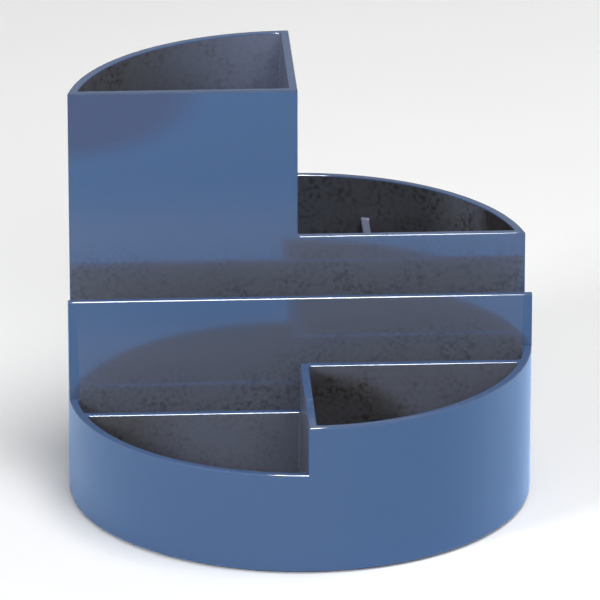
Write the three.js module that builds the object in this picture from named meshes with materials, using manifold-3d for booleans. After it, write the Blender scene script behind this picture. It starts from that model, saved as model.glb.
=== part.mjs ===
// Round desk organiser: one moulded body with stepped rims and seven open compartments, on four round pads.
// Millimetres, +Z up, front towards -Y. The origin is on the surface that the pads stand on, on the drum's axis.
import * as THREE from "three";
import { mergeVertices } from "three/addons/utils/BufferGeometryUtils.js";
import Module from "manifold-3d";

// Drum
const DRUM_RADIUS = 70; // outside
const WALL = 2.5; // thickness of the shell, of the floor and of each inner wall
const BORE_RADIUS = DRUM_RADIUS - WALL; // inside of the shell
const EDGE_CHAMFER = 0.8; // broken bottom edge
const DRUM_SEGMENTS = 128;

// Rim heights above the surface that the organiser stands on.
const TALL_RIM = 122.5; // back left, for pens
const BACK_RIM = 76; // back right
const LETTER_RIM = 62.5; // front wall of the letter slot
const LOW_DIVIDER_RIM = 62.5; // inside the back right
const FRONT_RIGHT_RIM = 46;
const FRONT_LEFT_RIM = 31.2;

// Places of the inner walls: y of a cross wall's front face, or x of a depth wall's left face.
const BACK_WALL = 11.6; // behind the letter slot
const LETTER_WALL = -5.8; // in front of the letter slot
const TRAY_WALL = -19.4; // in front of the tray
const TALL_SIDE_WALL = -WALL; // right side of the tall compartment, ending at the drum's middle plane
const LOW_DIVIDER = 22.2; // between the two compartments at the back right
const FRONT_DIVIDER = -0.8; // between the two compartments at the front

// Underside and pads
const EDGE_HEIGHT = 0.5; // the drum's bottom edge clears the surface by this
const FOOT_RING_WIDTH = 4;
const UNDERSIDE_RECESS = 0.8; // depth of the recess inside the foot ring
const FLOOR_UNDERSIDE = EDGE_HEIGHT + UNDERSIDE_RECESS;
const FLOOR_TOP = FLOOR_UNDERSIDE + WALL;
const PAD_RADIUS = 6;
const PAD_CIRCLE_RADIUS = 54; // of the circle through the pads' centres
const PAD_SEAT_DEPTH = 0.7; // depth of a pad's round seat in the floor
const PAD_SEAT_CLEARANCE = 0.4; // around the pad
const PAD_GLUE_GAP = 0.3; // between a pad and its seat
const PAD_HEIGHT = FLOOR_UNDERSIDE + PAD_SEAT_DEPTH - PAD_GLUE_GAP;
const PAD_CHAMFER = 0.4;
const PAD_SEGMENTS = 40;

const FAR = 200; // past the drum on every side, for walls and cuts that the drum trims

const wasm = await Module();
wasm.setup();

// A closed geometry as a manifold-3d solid.
function solidOf(geometry) {
  const bare = geometry.clone();
  bare.deleteAttribute("normal");
  bare.deleteAttribute("uv");
  const merged = mergeVertices(bare, 1e-4);
  return new wasm.Manifold(
    new wasm.Mesh({
      numProp: 3,
      vertProperties: merged.attributes.position.array,
      triVerts: new Uint32Array(merged.index.array),
    }),
  );
}

// A manifold-3d solid as a geometry.
function geometryOf(solid) {
  const mesh = solid.getMesh();
  const geometry = new THREE.BufferGeometry();
  geometry.setAttribute("position", new THREE.BufferAttribute(mesh.vertProperties, 3));
  geometry.setIndex(new THREE.BufferAttribute(mesh.triVerts, 1));
  geometry.computeVertexNormals();
  return geometry;
}

// A profile of [radius, height] pairs, from the axis at the bottom to the axis at the top, turned about Z.
function turned(profile, segments) {
  const points = profile.map(([radius, height]) => new THREE.Vector2(radius, height));
  return new THREE.LatheGeometry(points, segments).rotateX(Math.PI / 2);
}

// A round plug about Z.
function disc(radius, zMin, zMax, segments) {
  return turned([[0, zMin], [radius, zMin], [radius, zMax], [0, zMax]], segments);
}

function block(xMin, xMax, yMin, yMax, zMin, zMax) {
  const geometry = new THREE.BoxGeometry(xMax - xMin, yMax - yMin, zMax - zMin);
  return solidOf(geometry.translate((xMin + xMax) / 2, (yMin + yMax) / 2, (zMin + zMax) / 2));
}

// The drum filled in, up to its tallest rim.
function drumEnvelope() {
  const profile = [
    [0, EDGE_HEIGHT],
    [DRUM_RADIUS - EDGE_CHAMFER, EDGE_HEIGHT],
    [DRUM_RADIUS, EDGE_HEIGHT + EDGE_CHAMFER],
    [DRUM_RADIUS, TALL_RIM],
    [0, TALL_RIM],
  ];
  return solidOf(turned(profile, DRUM_SEGMENTS));
}

// The parts of the shell above its rims. Each starts halfway through the wall that parts it from a higher rim.
function shellSteps() {
  const backWallMiddle = BACK_WALL + WALL / 2;
  const tallSideMiddle = TALL_SIDE_WALL + WALL / 2;
  const frontDividerMiddle = FRONT_DIVIDER + WALL / 2;
  return [
    block(tallSideMiddle, FAR, backWallMiddle, FAR, BACK_RIM, FAR),
    block(frontDividerMiddle, FAR, -FAR, backWallMiddle, FRONT_RIGHT_RIM, FAR),
    block(-FAR, frontDividerMiddle, -FAR, backWallMiddle, FRONT_LEFT_RIM, FAR),
  ];
}

// A wall across the drum, with its front face at y.
function crossWall(y, rim, xMin = -FAR, xMax = FAR) {
  return block(xMin, xMax, y, y + WALL, FLOOR_UNDERSIDE, rim);
}

// A wall from front to back, with its left face at x.
function depthWall(x, rim, yMin, yMax) {
  return block(x, x + WALL, yMin, yMax, FLOOR_UNDERSIDE, rim);
}

// The walls between the compartments, longer than the drum is wide: the envelope trims them.
function innerWalls() {
  return [
    crossWall(BACK_WALL, BACK_RIM),
    crossWall(BACK_WALL, TALL_RIM, -FAR, TALL_SIDE_WALL + WALL),
    crossWall(LETTER_WALL, LETTER_RIM),
    crossWall(TRAY_WALL, FRONT_LEFT_RIM),
    crossWall(TRAY_WALL, FRONT_RIGHT_RIM, FRONT_DIVIDER, FAR),
    depthWall(TALL_SIDE_WALL, TALL_RIM, BACK_WALL, FAR),
    depthWall(LOW_DIVIDER, LOW_DIVIDER_RIM, BACK_WALL, FAR),
    depthWall(FRONT_DIVIDER, FRONT_RIGHT_RIM, -FAR, TRAY_WALL + WALL),
  ];
}

// One pad under each diagonal of the drum.
const padOffset = PAD_CIRCLE_RADIUS * Math.SQRT1_2;
const pads = [
  { name: "foot_pad_front_left", x: -padOffset, y: -padOffset },
  { name: "foot_pad_front_right", x: padOffset, y: -padOffset },
  { name: "foot_pad_back_left", x: -padOffset, y: padOffset },
  { name: "foot_pad_back_right", x: padOffset, y: padOffset },
];

// The recess inside the foot ring, and the round seats for the pads.
function undersideCuts() {
  const recess = disc(DRUM_RADIUS - FOOT_RING_WIDTH, 0, FLOOR_UNDERSIDE, DRUM_SEGMENTS);
  const seat = disc(PAD_RADIUS + PAD_SEAT_CLEARANCE, 0, FLOOR_UNDERSIDE + PAD_SEAT_DEPTH, PAD_SEGMENTS);
  const seats = pads.map(({ x, y }) => seat.clone().translate(x, y, 0));
  return [recess, ...seats].map(solidOf);
}

function organiserBody() {
  const envelope = drumEnvelope();
  const hollow = solidOf(disc(BORE_RADIUS, FLOOR_TOP, FAR, DRUM_SEGMENTS));
  let body = envelope.subtract(hollow);
  for (const step of shellSteps()) body = body.subtract(step);
  for (const wall of innerWalls()) body = body.add(wall.intersect(envelope));
  for (const cut of undersideCuts()) body = body.subtract(cut);
  const plastic = new THREE.MeshStandardMaterial({ color: 0x4f6a96, roughness: 0.2, metalness: 0 });
  const mesh = new THREE.Mesh(geometryOf(body), plastic);
  mesh.name = "organiser_body";
  return mesh;
}

// A round rubber pad with a broken lower edge.
function footPad({ name, x, y }) {
  const profile = [
    [0, 0],
    [PAD_RADIUS - PAD_CHAMFER, 0],
    [PAD_RADIUS, PAD_CHAMFER],
    [PAD_RADIUS, PAD_HEIGHT],
    [0, PAD_HEIGHT],
  ];
  const rubber = new THREE.MeshStandardMaterial({ color: 0x2b2c2e, roughness: 0.85, metalness: 0 });
  const mesh = new THREE.Mesh(turned(profile, PAD_SEGMENTS), rubber);
  mesh.name = name;
  mesh.position.set(x, y, 0);
  return mesh;
}

const organiser = new THREE.Group();
organiser.add(organiserBody(), ...pads.map(footPad));

export default organiser;
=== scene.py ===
# Round desk organiser in glossy blue plastic, on four rubber pads.
# Sizes are in millimetres and turned into Blender's metres by MM. The front is towards -Y.
import math

import bmesh
import bpy
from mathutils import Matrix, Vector
from mathutils.geometry import delaunay_2d_cdt, tessellate_polygon


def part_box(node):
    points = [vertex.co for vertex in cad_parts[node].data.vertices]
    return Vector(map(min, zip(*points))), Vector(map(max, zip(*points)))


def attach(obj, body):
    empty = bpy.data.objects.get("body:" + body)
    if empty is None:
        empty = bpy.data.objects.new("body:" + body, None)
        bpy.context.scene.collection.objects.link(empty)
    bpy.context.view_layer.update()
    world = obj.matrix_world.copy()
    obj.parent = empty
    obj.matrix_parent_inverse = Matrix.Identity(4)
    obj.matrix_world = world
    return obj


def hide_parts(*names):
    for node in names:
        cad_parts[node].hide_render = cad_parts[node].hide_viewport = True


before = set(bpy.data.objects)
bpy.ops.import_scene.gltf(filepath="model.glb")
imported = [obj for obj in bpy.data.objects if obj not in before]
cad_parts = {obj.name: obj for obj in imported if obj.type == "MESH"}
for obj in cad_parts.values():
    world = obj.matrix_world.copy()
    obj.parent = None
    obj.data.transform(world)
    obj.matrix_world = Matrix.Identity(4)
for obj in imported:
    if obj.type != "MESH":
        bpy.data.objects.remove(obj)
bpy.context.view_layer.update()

MM = 0.001

# Drum, as in the CAD model
body_low, body_high = (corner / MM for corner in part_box("organiser_body"))
DRUM_RADIUS = (body_high.x - body_low.x) / 2
EDGE_HEIGHT = body_low.z
TALL_RIM = body_high.z
WALL = 2.5
BORE_RADIUS = DRUM_RADIUS - WALL
BACK_RIM = 76.0
LETTER_RIM = 62.5
LOW_DIVIDER_RIM = 62.5
FRONT_RIGHT_RIM = 46.0
FRONT_LEFT_RIM = 31.2

# Front faces of the cross walls and left faces of the depth walls
BACK_WALL = 11.6
LETTER_WALL = -5.8
TRAY_WALL = -19.4
TALL_SIDE_WALL = -WALL
LOW_DIVIDER = 22.2
FRONT_DIVIDER = -0.8

# Underside
FOOT_RING_WIDTH = 4.0
FLOOR_UNDERSIDE = EDGE_HEIGHT + 0.8
FLOOR_TOP = FLOOR_UNDERSIDE + WALL
PAD_SEAT_TOP = FLOOR_UNDERSIDE + 0.7
PAD_SEAT_CLEARANCE = 0.4
GATE_MARK_RADIUS = 1.6
GATE_MARK_HEIGHT = 0.5
PAD_NODES = [
    "foot_pad_front_left",
    "foot_pad_front_right",
    "foot_pad_back_left",
    "foot_pad_back_right",
]

# Mesh fineness and roundings
DRUM_SEGMENTS = 288
SEAT_SEGMENTS = 48
EDGE_ROUND = 0.4  # outer edges of walls and rims
CORNER_FILLET = 0.7  # inner corners
BASE_ROUND = 0.9  # the drum's bottom edge
UNDERSIDE_ROUND = 0.18  # shallow steps of the underside
SHARP = math.radians(30)

# Foot pads
PAD_DISH = 0.3  # depth of the hollow in the underside
PAD_RING = 1.6  # width of the ring it stands on
PAD_ROUND = 0.5
PAD_BREAK = 0.2  # bevel of the upper edge

# Material slots of the body, and the attribute that says how far down a compartment a place is
OUTSIDE_SLOT, RIM_SLOT, WORN_SLOT, INSIDE_SLOT = range(4)
DEPTH = "depth"
OUTSIDE_DEPTH = -100
LOW_STEP = 20  # the side of a wall that rises less than this out of a compartment looks like its inside

# Colours and gloss
PLASTIC_IOR = 1.7
BLUE = (0.069, 0.087, 0.130, 1)
BLUE_GLOSS = (0.0, 0.32, 1.0, 1)
BLUE_SHEEN = (0.0, 0.35, 1.0, 1)
# Over the compartments, a greyer blue and a grey: painted reflection and shade on the walls above them.
# The grey is also the base of the inside where shade is painted.
SHADED_REFLECTION_BLUE = (0.098, 0.106, 0.138, 1)
GREY_BLUE = (0.106, 0.110, 0.130, 1)
# The inside's base, paler than the outside's as painted light against the shade in the compartments
PALE_GREY_BLUE = (0.108, 0.120, 0.163, 1)
# Painted light, high up inside the compartments
LIT_GREY_BLUE = (0.150, 0.175, 0.260, 1)
RIM_BLUE = (0.056, 0.101, 0.213, 1)
WORN_BLUE = (0.055, 0.085, 0.170, 1)
# Painted light on the low divider's top
PAINTED_LIGHT_BLUE = (0.170, 0.195, 0.290, 1)
PALER_BLUE = (0.106, 0.133, 0.195, 1)
# Painted dark reflection on the tall part's front, at its upper left
PAINTED_REFLECTION_GREY = (0.070, 0.056, 0.060, 1)
SHADE = (0.027, 0.023, 0.019, 1)
DUST = (0.3, 0.3, 0.3, 1)
RUBBER = (0.012, 0.012, 0.013, 1)
WORN_RUBBER = (0.035, 0.034, 0.033, 1)
FLOOR_GREY = (0.89, 0.89, 0.89, 1)
FLOOR_PALE = (0.91, 0.91, 0.91, 1)

# Where the plastic's look changes. A patch is a spot, a stretch of it along the axes, and the distances
# between which it fades.
# Painted dark reflection on the tall compartment's front, at its upper left
DARK_REFLECTION_PATCH = Vector((-DRUM_RADIUS, BACK_WALL, TALL_RIM)), (1, 1, 1.9), 28, 46
# Painted shade: a shadow patch in the front right compartment's left corner, and the darkened left ends
# and back right's right end
PAINTED_SHADOW_PATCH = Vector((FRONT_DIVIDER + WALL, TRAY_WALL, 26)), (0.6, 1, 1), 14, 21
SHADED_LEFT_END = 14, 38  # from a compartment's left end
SHADED_RIGHT_END = 56, 60  # from the middle of the drum
LIT_HEIGHT = 50, 110  # of the painted light, high up
LIT_REACH = 30, 65  # from a compartment's left end
BLEND = 25  # over how far the look above the front left compartment turns into that above the right one
# Between these depths, the outside turns a greyer blue, then grey and mottled dark, as painted
# reflection and shade of the compartment below, and rougher
SHADED_REFLECTION_DEPTHS = -34, -12
GREYING_DEPTHS = -8, 4
MOTTLING_DEPTHS = -16, 6
ROUGHENING_DEPTHS = -10, 6

# Ripples of the moulded surface
RIPPLE_SIZE = 6
RIPPLE_DEPTH = 0.004

# Camera
CAMERA_AZIMUTH = -2.88
CAMERA_ELEVATION = 20.49
CAMERA_DISTANCE = 1900.0
CAMERA_AIM = Vector((0.1, 0.0, 59.83))
FRAME_WIDTH = 180.7  # what the camera sees across, at the distance of the point it aims at
SENSOR = 36.0

# Studio
FLOOR_RADIUS = 6000
FLOOR_GAP = 0.1
HORIZON_RADIANCE = 0.4
ZENITH_RADIANCE = 0.1
HORIZON_TOP = 22  # the world dims between these elevations
ZENITH_FOOT = 50
LIGHT_DISTANCE = 1600
# Name, azimuth, elevation, width, height, radiance, and the reflections that it is left out of
LIGHTS = [
    ("key", -52, 24, 350, 350, 30.0, "glossy"),
    ("low front", -30, 12, 800, 500, 1.4, "glossy"),
    ("front", 12, 30, 800, 600, 5.3, "glossy"),
    ("top", 60, 74, 900, 900, 6.3, "glossy"),
    ("right", 110, 18, 900, 600, 4.0, "glossy"),
    ("glint", -4, 62, 500, 1000, 36.0, "diffuse"),
]


def link(name, bm):
    mesh = bpy.data.meshes.new(name)
    bm.to_mesh(mesh)
    bm.free()
    obj = bpy.data.objects.new(name, mesh)
    bpy.context.scene.collection.objects.link(obj)
    return obj


def link_part(name, bm, node):
    """Make a piece that stands for a CAD node."""
    part = link(name, bm)
    smoothing = part.modifiers.new("weighted normals", "WEIGHTED_NORMAL")
    smoothing.keep_sharp = True
    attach(part, "root")
    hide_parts(node)
    return part


def polar(radius, turn):
    return Vector((radius * math.cos(turn), radius * math.sin(turn)))


def chord_ends(axis, place, radius):
    """The two points where the line x = place (axis 0) or y = place (axis 1) meets the circle."""
    half = math.sqrt(radius**2 - place**2)
    ends = [Vector((place, -half)), Vector((place, half))]
    return ends if axis == 0 else [end.yx for end in ends]


class Plan:
    """A drawing of points and lines seen from above, from which a stepped surface is made."""

    def __init__(self):
        self.numbers = {}
        self.lines = []

    def number(self, point):
        """The number of a point of the drawing. Points within a micron of each other are one point."""
        return self.numbers.setdefault((round(point.x, 3), round(point.y, 3)), len(self.numbers))

    def line(self, start, end):
        self.lines.append((self.number(start), self.number(end)))

    def circle(self, radius, segments, centre=Vector((0, 0)), crossings=()):
        """A circle in even steps, which gives way to the points where walls cross it."""
        step = math.tau / segments
        fixed = sorted(math.atan2(p.y, p.x) % math.tau for p in crossings)
        near = 0.6 * step
        free = [
            i * step
            for i in range(segments)
            if all(min(abs(i * step - turn), math.tau - abs(i * step - turn)) > near for turn in fixed)
        ]
        ring = [centre + polar(radius, turn) for turn in sorted(fixed + free)]
        for start, end in zip(ring, ring[1:] + ring[:1]):
            self.line(start, end)
        return free

    def faces(self):
        """The drawing's faces, each a list of (x, y) corners."""
        drawn = [Vector(place) for place in self.numbers]
        points, _, faces, *_ = delaunay_2d_cdt(drawn, self.lines, [], 3, 1e-3)
        corners = [(round(p.x, 3), round(p.y, 3)) for p in points]
        return [list(dict.fromkeys(corners[i] for i in face)) for face in faces]


CROSS_WALLS = [place + side for place in (BACK_WALL, LETTER_WALL, TRAY_WALL) for side in (0, WALL)]
BACK_DEPTH_WALLS = [place + side for place in (TALL_SIDE_WALL, LOW_DIVIDER) for side in (0, WALL)]
FRONT_DEPTH_WALLS = [FRONT_DIVIDER, FRONT_DIVIDER + WALL]


def wall_crossings(radius):
    points = [end for place in CROSS_WALLS for end in chord_ends(1, place, radius)]
    points += [chord_ends(0, place, radius)[1] for place in BACK_DEPTH_WALLS]
    points += [chord_ends(0, place, radius)[0] for place in FRONT_DEPTH_WALLS]
    return points


def top_plan():
    plan = Plan()
    free_outside = plan.circle(DRUM_RADIUS, DRUM_SEGMENTS, crossings=wall_crossings(DRUM_RADIUS))
    free_inside = plan.circle(BORE_RADIUS, DRUM_SEGMENTS, crossings=wall_crossings(BORE_RADIUS))
    for turn in sorted(set(free_outside) & set(free_inside)):
        plan.line(polar(BORE_RADIUS, turn), polar(DRUM_RADIUS, turn))
    for place in CROSS_WALLS:
        plan.line(*chord_ends(1, place, DRUM_RADIUS))
    for place in BACK_DEPTH_WALLS:
        start = BACK_WALL if place == TALL_SIDE_WALL + WALL else BACK_WALL + WALL
        plan.line(Vector((place, start)), chord_ends(0, place, DRUM_RADIUS)[1])
    for place in FRONT_DEPTH_WALLS:
        start = TRAY_WALL + WALL if place == FRONT_DIVIDER else TRAY_WALL
        plan.line(Vector((place, start)), chord_ends(0, place, DRUM_RADIUS)[0])
    return plan


def top_height(point):
    """Height of the organiser's upper side: a rim where there is a wall, or else the floor."""
    in_shell = point.length > BORE_RADIUS
    if point.y > BACK_WALL:
        in_back_wall = point.y < BACK_WALL + WALL
        if point.x < TALL_SIDE_WALL + WALL:
            return TALL_RIM if in_shell or in_back_wall or point.x > TALL_SIDE_WALL else FLOOR_TOP
        if in_shell or in_back_wall:
            return BACK_RIM
        return LOW_DIVIDER_RIM if LOW_DIVIDER < point.x < LOW_DIVIDER + WALL else FLOOR_TOP
    if LETTER_WALL < point.y < LETTER_WALL + WALL:
        return LETTER_RIM
    in_tray_wall = TRAY_WALL < point.y < TRAY_WALL + WALL
    in_divider = point.y < TRAY_WALL and FRONT_DIVIDER < point.x < FRONT_DIVIDER + WALL
    if in_shell or in_tray_wall or in_divider:
        return FRONT_LEFT_RIM if point.x < FRONT_DIVIDER else FRONT_RIGHT_RIM
    return FLOOR_TOP


def pad_centres():
    centres = []
    for node in PAD_NODES:
        low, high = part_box(node)
        centres.append((low + high).xy / 2 / MM)
    return centres


def pad_seat_radius():
    low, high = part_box(PAD_NODES[0])
    return (high.x - low.x) / 2 / MM + PAD_SEAT_CLEARANCE


def bottom_plan():
    plan = Plan()
    plan.circle(DRUM_RADIUS, DRUM_SEGMENTS, crossings=wall_crossings(DRUM_RADIUS))
    plan.circle(DRUM_RADIUS - FOOT_RING_WIDTH, DRUM_SEGMENTS)
    for centre in pad_centres():
        plan.circle(pad_seat_radius(), SEAT_SEGMENTS, centre)
        # A line through the pads to the drum's edge leaves no face with a hole in it.
        plan.line(Vector((0, 0)), centre.normalized() * DRUM_RADIUS)
    plan.circle(GATE_MARK_RADIUS, SEAT_SEGMENTS)
    return plan


def bottom_height(point):
    if point.length > DRUM_RADIUS - FOOT_RING_WIDTH:
        return EDGE_HEIGHT
    if point.length < GATE_MARK_RADIUS:
        return FLOOR_UNDERSIDE - GATE_MARK_HEIGHT
    in_seat = any((point - centre).length < pad_seat_radius() for centre in pad_centres())
    return PAD_SEAT_TOP if in_seat else FLOOR_UNDERSIDE


def inner_point(corners):
    """A point inside a plan face: the middle of the largest triangle that it is cut into."""
    points = [Vector(corner) for corner in corners]
    triangles = [[points[i] for i in ids] for ids in tessellate_polygon([[p.to_3d() for p in points]])]
    a, b, c = max(triangles, key=lambda t: abs((t[1] - t[0]).cross(t[2] - t[0])))
    return (a + b + c) / 3


def stepped_solid(top, bottom):
    """A closed solid between two stepped surfaces, each a pair: a plan and its height function."""
    bm = bmesh.new()
    verts, levels, sides = {}, {}, {}

    def vert(corner, height):
        if (corner, height) not in verts:
            verts[corner, height] = bm.verts.new(Vector((*corner, height)) * MM)
        return verts[corner, height]

    for plan, height_at in (top, bottom):
        for corners in plan.faces():
            height = height_at(inner_point(corners))
            bm.faces.new([vert(corner, height) for corner in corners])
            for start, end in zip(corners, corners[1:] + corners[:1]):
                levels.setdefault(start, set()).add(height)
                sides.setdefault(frozenset((start, end)), []).append(height)
    for side, heights in sides.items():
        # An inner line parts two faces of one plan. On an outer one, the two plans meet.
        lowest, highest = min(heights), max(heights)
        if lowest == highest:
            continue
        columns = []
        for corner in side:
            between = sorted(h for h in levels[corner] if lowest <= h <= highest)
            columns.append([vert(corner, h) for h in between])
        bm.faces.new(columns[0] + columns[1][::-1])
    bmesh.ops.recalc_face_normals(bm, faces=bm.faces)
    return bm


def is_sharp(edge, convex):
    angle = edge.calc_face_angle_signed(0)
    return angle > SHARP if convex else angle < -SHARP


def is_low(edge):
    """Whether an edge is on the underside."""
    return all(v.co.z < FLOOR_TOP * MM * 0.9 for v in edge.verts)


def is_rim_end(edge):
    """Whether an edge lies where one of the front rims runs into a higher wall."""
    a, b = (v.co / MM for v in edge.verts)
    return max(a.y, b.y) < 0 and min(a.z, b.z) > 2 * FLOOR_TOP and abs(a.z - b.z) < 0.001


def is_underside_step(edge):
    return is_low(edge) and (is_sharp(edge, True) or is_sharp(edge, False))


def is_inner_corner(edge):
    return not is_low(edge) and not is_rim_end(edge) and is_sharp(edge, False)


def is_outer_corner(edge):
    return not is_low(edge) and is_sharp(edge, True)


def is_base_edge(edge):
    lowest = (EDGE_HEIGHT + 0.01) * MM
    outermost = (DRUM_RADIUS - 0.1) * MM
    return all(v.co.z < lowest and v.co.xy.length > outermost for v in edge.verts)


def round_edges(bm, chosen, radius, steps):
    bmesh.ops.bevel(
        bm,
        geom=[edge for edge in bm.edges if chosen(edge)],
        offset=radius * MM,
        offset_type="OFFSET",
        segments=steps,
        profile=0.5,
        affect="EDGES",
        clamp_overlap=False,
    )


def keep_in_drum(bm):
    """Pull back the points that the rounding pushed a hair's breadth out of the drum."""
    for vert in bm.verts:
        reach = vert.co.xy.length / (DRUM_RADIUS * MM)
        if reach > 1:
            vert.co.xy /= reach


def compartment_rim(point):
    """Height of the rim around the compartment at a point of the plan."""
    if point.y > BACK_WALL:
        return TALL_RIM if point.x < TALL_SIDE_WALL + WALL else BACK_RIM
    if point.y > LETTER_WALL:
        return LETTER_RIM
    return FRONT_LEFT_RIM if point.x < FRONT_DIVIDER + WALL / 2 else FRONT_RIGHT_RIM


def finish_faces(bm):
    """Give each face its material, and each face corner its depth below the compartment's rim."""
    depth = bm.loops.layers.float.new(DEPTH)
    for face in bm.faces:
        middle = face.calc_center_median() / MM
        in_front = (middle + face.normal * EDGE_ROUND).xy
        ground, rim = top_height(in_front), compartment_rim(in_front)
        on_wall = ground > FLOOR_TOP and abs(middle.z - ground) < EDGE_ROUND
        above_floor = middle.z > FLOOR_TOP - EDGE_ROUND
        enclosed = in_front.length < DRUM_RADIUS and ground < rim and above_floor and not on_wall
        for loop in face.loops:
            loop[depth] = rim - loop.vert.co.z / MM if enclosed else OUTSIDE_DEPTH
        rise = -min(loop[depth] for loop in face.loops)
        if face.normal.z > 0.05 and middle.z > FLOOR_TOP + 2 * CORNER_FILLET:
            worn = middle.z > TALL_RIM - EDGE_ROUND and middle.y < BACK_WALL + EDGE_ROUND
            face.material_index = WORN_SLOT if worn else RIM_SLOT
        elif rise < (LOW_STEP if abs(face.normal.x) > 0.9 else EDGE_ROUND):
            face.material_index = INSIDE_SLOT
        face.smooth = True
    for edge in bm.edges:
        edge.smooth = edge.calc_face_angle(0) < SHARP


def organiser_body():
    top, bottom = (top_plan(), top_height), (bottom_plan(), bottom_height)
    bm = stepped_solid(top, bottom)
    round_edges(bm, is_base_edge, BASE_ROUND, 4)
    round_edges(bm, is_underside_step, UNDERSIDE_ROUND, 2)
    round_edges(bm, is_inner_corner, CORNER_FILLET, 3)
    round_edges(bm, is_outer_corner, EDGE_ROUND, 3)
    keep_in_drum(bm)
    finish_faces(bm)
    return link_part("desk_organiser_body", bm, "organiser_body")


def turned(bm, outline, centre, segments):
    """Turn a closed (radius, height) outline, which starts and ends on the axis, about that axis."""
    rings = []
    for radius, z in outline:
        turns = [i * math.tau / segments for i in range(segments)] if radius else [0]
        places = [centre + polar(radius, turn) for turn in turns]
        rings.append([bm.verts.new(Vector((*place, z)) * MM) for place in places])
    for below, above in zip(rings, rings[1:]):
        for i in range(segments):
            lower = [below[j % len(below)] for j in (i, i + 1)]
            upper = [above[j % len(above)] for j in (i + 1, i)]
            bm.faces.new(list(dict.fromkeys(lower + upper)))
    bmesh.ops.recalc_face_normals(bm, faces=bm.faces)


def foot_pad(node):
    """A rubber disc whose underside is dished, with a ring to stand on."""
    low, high = (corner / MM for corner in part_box(node))
    radius = (high.x - low.x) / 2
    outline = [(0, PAD_DISH), (radius - PAD_RING - PAD_DISH, PAD_DISH), (radius - PAD_RING, 0)]
    for turn in (0, 22.5, 45, 67.5, 90):
        across, up = math.sin(math.radians(turn)), 1 - math.cos(math.radians(turn))
        outline.append((radius - PAD_ROUND + PAD_ROUND * across, PAD_ROUND * up))
    outline += [(radius, high.z - PAD_BREAK), (radius - PAD_BREAK, high.z), (0, high.z)]
    bm = bmesh.new()
    turned(bm, outline, ((low + high) / 2).xy, SEAT_SEGMENTS)
    for face in bm.faces:
        face.smooth = True
    return link_part(node + "_rubber", bm, node)


class Shading:
    """A material being put together."""

    def __init__(self, name, **inputs):
        self.material = bpy.data.materials.new(name)
        self.material.use_nodes = True
        self.tree = self.material.node_tree
        self.shader = self.tree.nodes["Principled BSDF"]
        self.place = self.add("ShaderNodeTexCoord").outputs["Object"]
        self.set(**inputs)

    def feed(self, socket, value):
        if isinstance(value, bpy.types.NodeSocket):
            self.tree.links.new(value, socket)
        else:
            socket.default_value = value

    def add(self, kind, inputs=(), **settings):
        node = self.tree.nodes.new(kind)
        for key, value in settings.items():
            setattr(node, key, value)
        for key, value in dict(inputs).items():
            self.feed(node.inputs[key], value)
        return node

    def set(self, **inputs):
        """Feed the shader's sockets, whose names are written with underscores."""
        for key, value in inputs.items():
            self.feed(self.shader.inputs[key.replace("_", " ")], value)

    def noise(self, size, detail=2, stretch=(1, 1, 1)):
        """Noise whose blotches are about this many millimetres wide."""
        place = self.add("ShaderNodeMapping", {"Vector": self.place, "Scale": stretch})
        inputs = {"Vector": place.outputs["Vector"], "Scale": 1 / (size * MM), "Detail": detail}
        return self.add("ShaderNodeTexNoise", inputs).outputs["Fac"]

    def spread(self, value, low, high, to_low=0.0, to_high=1.0):
        """Smoothly map low..high onto to_low..to_high."""
        inputs = {"Value": value, "From Min": low, "From Max": high, "To Min": to_low, "To Max": to_high}
        node = self.add("ShaderNodeMapRange", inputs, interpolation_type="SMOOTHSTEP")
        return node.outputs["Result"]

    def across(self, place, low, high, *to):
        """Spread a distance or a coordinate, over a range in millimetres."""
        return self.spread(place, low * MM, high * MM, *to)

    def axes(self):
        """The X, Y and Z of the place on the object."""
        outputs = self.add("ShaderNodeSeparateXYZ", {0: self.place}).outputs
        return [outputs[axis] for axis in "XYZ"]

    def maths(self, operation, a, b):
        return self.add("ShaderNodeMath", {0: a, 1: b}, operation=operation).outputs[0]

    def times(self, a, b):
        return self.maths("MULTIPLY", a, b)

    def plus(self, a, b):
        return self.maths("ADD", a, b)

    def mix(self, factor, a, b):
        """Mix two colours."""
        return self.add("ShaderNodeMix", {0: factor, 6: a, 7: b}, data_type="RGBA").outputs[2]

    def bump(self, height, depth):
        """Raise the surface by up to this many millimetres."""
        inputs = {"Height": height, "Distance": depth * MM, "Strength": 1.0}
        self.set(Normal=self.add("ShaderNodeBump", inputs).outputs["Normal"])

    def add_clouds(self, colour):
        """Faint clouding and a few specks of dust, as moulded plastic has."""
        colour = self.mix(self.times(self.noise(30, 3), 0.08), colour, PALER_BLUE)
        specks = self.spread(self.noise(0.7, 1), 0.73, 0.78)
        return self.mix(self.times(specks, 0.06), colour, DUST)

    def mottles(self):
        """Patchy dark mottling, 1 where it is strongest."""
        fine = self.spread(self.noise(1.5, 5), 0.40, 0.70)
        return self.times(fine, self.spread(self.noise(9, 2), 0.35, 0.65, 0.2, 1))

    def scuffs(self):
        """Upright scuffs, from things being dropped in and pulled out."""
        return self.spread(self.noise(1.2, 3, (1, 1, 0.06)), 0.60, 0.75)

    def polish(self):
        """Roughness of the polished plastic: glossy, and a little dull where it was handled."""
        return self.spread(self.noise(18, 4), 0.52, 0.72, 0.07, 0.13)

    def vector_maths(self, operation, *inputs):
        return self.add("ShaderNodeVectorMath", enumerate(inputs), operation=operation).outputs

    def near(self, spot, stretch, inner, outer):
        """1 near a spot, falling to 0. A stretch above 1 narrows the patch along that axis."""
        away = self.vector_maths("SUBTRACT", self.place, spot * MM)["Vector"]
        away = self.vector_maths("MULTIPLY", away, stretch)["Vector"]
        return self.across(self.vector_maths("LENGTH", away)["Value"], inner, outer, 1, 0)

    def ripples(self):
        return self.noise(RIPPLE_SIZE, 1)


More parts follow.
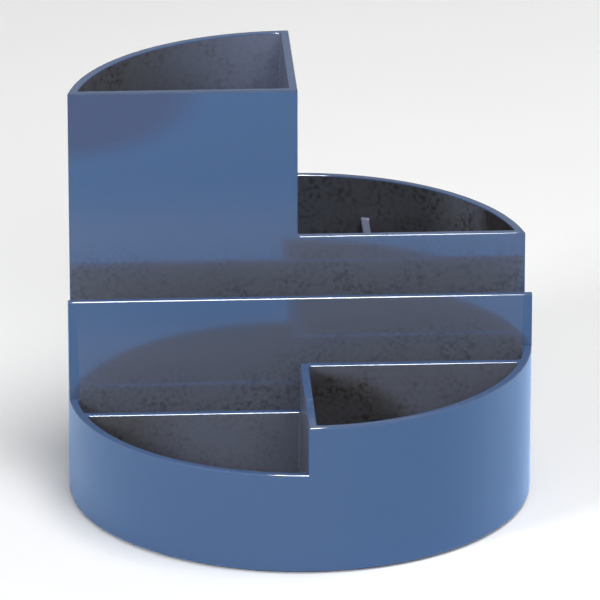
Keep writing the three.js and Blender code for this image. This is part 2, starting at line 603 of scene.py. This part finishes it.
def outside_plastic():
    """Polished blue. Down a wall that stands in a compartment, it turns into the inside's grey, as
    painted reflection and shade of that compartment.
    """
    s = Shading("blue_plastic", IOR=PLASTIC_IOR, Specular_IOR_Level=0.8, Specular_Tint=BLUE_GLOSS)
    s.set(Sheen_Weight=0.5, Sheen_Roughness=0.5, Sheen_Tint=BLUE_SHEEN)
    depth = s.add("ShaderNodeAttribute", attribute_name=DEPTH).outputs["Fac"]
    # The letter wall's front is one face, and its depth is counted from the lower rim, on the left.
    x, y, _ = s.axes()
    right = s.across(x, FRONT_DIVIDER - BLEND, FRONT_DIVIDER + BLEND)
    in_front = s.across(y, LETTER_WALL, LETTER_WALL + WALL / 2, 1, 0)
    depth = s.plus(depth, s.times(s.times(right, in_front), FRONT_RIGHT_RIM - FRONT_LEFT_RIM))
    # Painted dark reflection: a greyer patch at the upper left of the tall part's front
    colour = s.mix(s.near(*DARK_REFLECTION_PATCH), BLUE, PAINTED_REFLECTION_GREY)
    # Painted reflection and shade: a greyer blue, then grey and dark mottles, down a wall over a
    # compartment
    colour = s.mix(s.spread(depth, *SHADED_REFLECTION_DEPTHS), colour, SHADED_REFLECTION_BLUE)
    colour = s.mix(s.spread(depth, *GREYING_DEPTHS), colour, GREY_BLUE)
    colour = s.mix(s.times(s.spread(depth, *MOTTLING_DEPTHS, 0, 0.6), s.mottles()), colour, SHADE)
    s.set(Base_Color=s.add_clouds(colour))
    s.set(Roughness=s.plus(s.polish(), s.spread(depth, *ROUGHENING_DEPTHS, 0, 0.10)))
    s.bump(s.ripples(), RIPPLE_DEPTH)
    return s.material


def inside_plastic():
    """Greyer, rougher and mottled, with scuffs. Its paler base is painted light against the shade
    inside; painted shade darkens the back right, some ends and the front right's left corner, and
    painted light pales it high up towards the right.
    """
    s = Shading("blue_plastic_inside", IOR=PLASTIC_IOR, Specular_IOR_Level=0.3)
    x, y, z = s.axes()
    from_left = s.maths("FLOORED_MODULO", x, DRUM_RADIUS * MM)
    behind = s.across(y, BACK_WALL, BACK_WALL + WALL)
    in_front = s.across(y, TRAY_WALL, TRAY_WALL + WALL, 1, 0)
    in_front_right = s.times(in_front, s.across(x, FRONT_DIVIDER, FRONT_DIVIDER + WALL))
    in_front_left = s.maths("SUBTRACT", in_front, in_front_right)
    # Painted shade where shadows fall: the left ends of the back and front left compartments, the whole
    # back right, a patch in the front right's left corner and the back right's right end
    left_end = s.times(s.plus(behind, in_front_left), s.across(from_left, *SHADED_LEFT_END, 1, 0))
    back_right = s.times(behind, s.across(x, TALL_SIDE_WALL, TALL_SIDE_WALL + WALL))
    corner = s.times(in_front_right, s.spread(s.near(*PAINTED_SHADOW_PATCH), 0, 1, 0.2, 1))
    right_end = s.times(behind, s.across(x, *SHADED_RIGHT_END))
    painted_shade = s.maths("MAXIMUM", s.maths("MAXIMUM", left_end, back_right), corner)
    # Painted light: paler high up towards a compartment's right
    painted_light = s.times(s.across(z, *LIT_HEIGHT), s.across(from_left, *LIT_REACH))
    scuffs = s.scuffs()
    colour = s.mix(painted_light, s.mix(painted_shade, PALE_GREY_BLUE, GREY_BLUE), LIT_GREY_BLUE)
    shade = s.plus(s.times(s.mottles(), s.spread(painted_shade, 0, 1, 0.35, 0.7)), s.times(painted_shade, 0.3))
    shade = s.plus(shade, s.plus(s.times(corner, 0.25), s.times(right_end, 0.6)))
    colour = s.mix(shade, colour, SHADE)
    s.set(Base_Color=s.add_clouds(colour))
    s.set(Roughness=s.plus(s.spread(s.noise(18, 4), 0.4, 0.7, 0.28, 0.36), s.times(scuffs, 0.12)))
    s.bump(s.plus(s.ripples(), s.times(scuffs, -0.05)), RIPPLE_DEPTH)
    return s.material


def rim_plastic():
    """Polished, and painted paler along the low divider's top, which lies in the tall part's shade, and
    rougher there.
    """
    s = Shading("blue_plastic_rim", IOR=PLASTIC_IOR, Specular_IOR_Level=0.5)
    _, y, z = s.axes()
    behind = s.across(y, BACK_WALL + WALL, BACK_WALL + 2 * WALL)
    # Painted light: the low divider's top, in the tall part's shade, is made paler, and rougher
    painted_light_and_rough = s.times(behind, s.across(z, LOW_DIVIDER_RIM + 1, BACK_RIM - 1, 1, 0))
    colour = s.mix(s.spread(s.noise(2.5, 3), 0.45, 0.75, 0, 0.3), RIM_BLUE, PALER_BLUE)
    s.set(Base_Color=s.add_clouds(s.mix(painted_light_and_rough, colour, PAINTED_LIGHT_BLUE)))
    s.set(Roughness=s.plus(s.polish(), s.times(painted_light_and_rough, 0.3)))
    s.bump(s.ripples(), RIPPLE_DEPTH)
    return s.material


def worn_plastic():
    """The front edge of the tall compartment, rubbed dull."""
    s = Shading("blue_plastic_worn", IOR=PLASTIC_IOR, Specular_IOR_Level=0.05)
    s.set(Base_Color=s.add_clouds(s.mix(s.noise(3, 3), WORN_BLUE, BLUE)))
    s.set(Roughness=s.spread(s.noise(4, 3), 0.4, 0.6, 0.5, 0.65))
    return s.material


def pad_rubber():
    s = Shading("pad_rubber", Specular_IOR_Level=0.35)
    wear = s.spread(s.noise(2.5, 3), 0.45, 0.65)
    s.set(Base_Color=s.mix(wear, RUBBER, WORN_RUBBER))
    s.set(Roughness=s.spread(wear, 0, 1, 0.7, 0.9))
    s.bump(s.noise(0.35, 2), 0.05)
    return s.material


def direction(azimuth, elevation):
    """From the object, towards something at that azimuth and elevation. Azimuth 0 is the front."""
    a, e = math.radians(azimuth), math.radians(elevation)
    return Vector((math.sin(a) * math.cos(e), -math.cos(a) * math.cos(e), math.sin(e)))


def place_facing(name, data, azimuth, elevation, distance, aim):
    """Put a camera or a light at a distance from the point aim, facing it."""
    holder = bpy.data.objects.new(name, data)
    towards = direction(azimuth, elevation)
    holder.location = (aim + towards * distance) * MM
    holder.rotation_euler = (-towards).to_track_quat("-Z", "Y").to_euler()
    bpy.context.scene.collection.objects.link(holder)
    return holder


def add_camera():
    camera = bpy.data.cameras.new("camera")
    camera.sensor_width = SENSOR
    camera.lens = SENSOR * CAMERA_DISTANCE / FRAME_WIDTH
    camera.clip_start, camera.clip_end = 0.05, 50
    spot = CAMERA_AZIMUTH, CAMERA_ELEVATION, CAMERA_DISTANCE, CAMERA_AIM
    bpy.context.scene.camera = place_facing("camera", camera, *spot)


def add_light(name, azimuth, elevation, width, height, radiance, unseen_by):
    """A soft rectangular light. It skips one kind of reflection, glossy or diffuse."""
    light = bpy.data.lights.new(name, "AREA")
    light.shape = "RECTANGLE"
    light.size, light.size_y = width * MM, height * MM
    light.energy = radiance * math.pi * light.size * light.size_y
    holder = place_facing(name, light, azimuth, elevation, LIGHT_DISTANCE, CAMERA_AIM)
    holder.visible_camera = False
    setattr(holder, "visible_" + unseen_by, False)


def add_floor():
    bm = bmesh.new()
    bmesh.ops.create_circle(bm, cap_ends=True, segments=96, radius=FLOOR_RADIUS * MM)
    floor = link("floor", bm)
    floor.location.z = -FLOOR_GAP * MM
    s = Shading("floor", Roughness=0.9, Specular_IOR_Level=0.1)
    s.set(Base_Color=s.mix(s.noise(60, 3), FLOOR_GREY, FLOOR_PALE))
    floor.data.materials.append(s.material)


def add_backdrop():
    """A world that is pale all round the horizon and dimmer overhead."""
    world = bpy.data.worlds.new("studio")
    world.use_nodes = True
    nodes, links = world.node_tree.nodes, world.node_tree.links
    split = nodes.new("ShaderNodeSeparateXYZ")
    links.new(nodes.new("ShaderNodeTexCoord").outputs["Generated"], split.inputs[0])
    fade = nodes.new("ShaderNodeMapRange")
    fade.interpolation_type = "SMOOTHSTEP"
    fade.inputs["From Min"].default_value = math.sin(math.radians(HORIZON_TOP))
    fade.inputs["From Max"].default_value = math.sin(math.radians(ZENITH_FOOT))
    fade.inputs["To Min"].default_value = HORIZON_RADIANCE
    fade.inputs["To Max"].default_value = ZENITH_RADIANCE
    links.new(split.outputs["Z"], fade.inputs["Value"])
    background = nodes["Background"]
    background.inputs["Color"].default_value = (1, 1, 1, 1)
    links.new(fade.outputs["Result"], background.inputs["Strength"])
    bpy.context.scene.world = world


body = organiser_body()
for material in (outside_plastic(), rim_plastic(), worn_plastic(), inside_plastic()):
    body.data.materials.append(material)
rubber = pad_rubber()
for node in PAD_NODES:
    foot_pad(node).data.materials.append(rubber)

add_camera()
add_floor()
add_backdrop()
for light in LIGHTS:
    add_light(*light)
bpy.context.scene.view_settings.view_transform = "Standard"
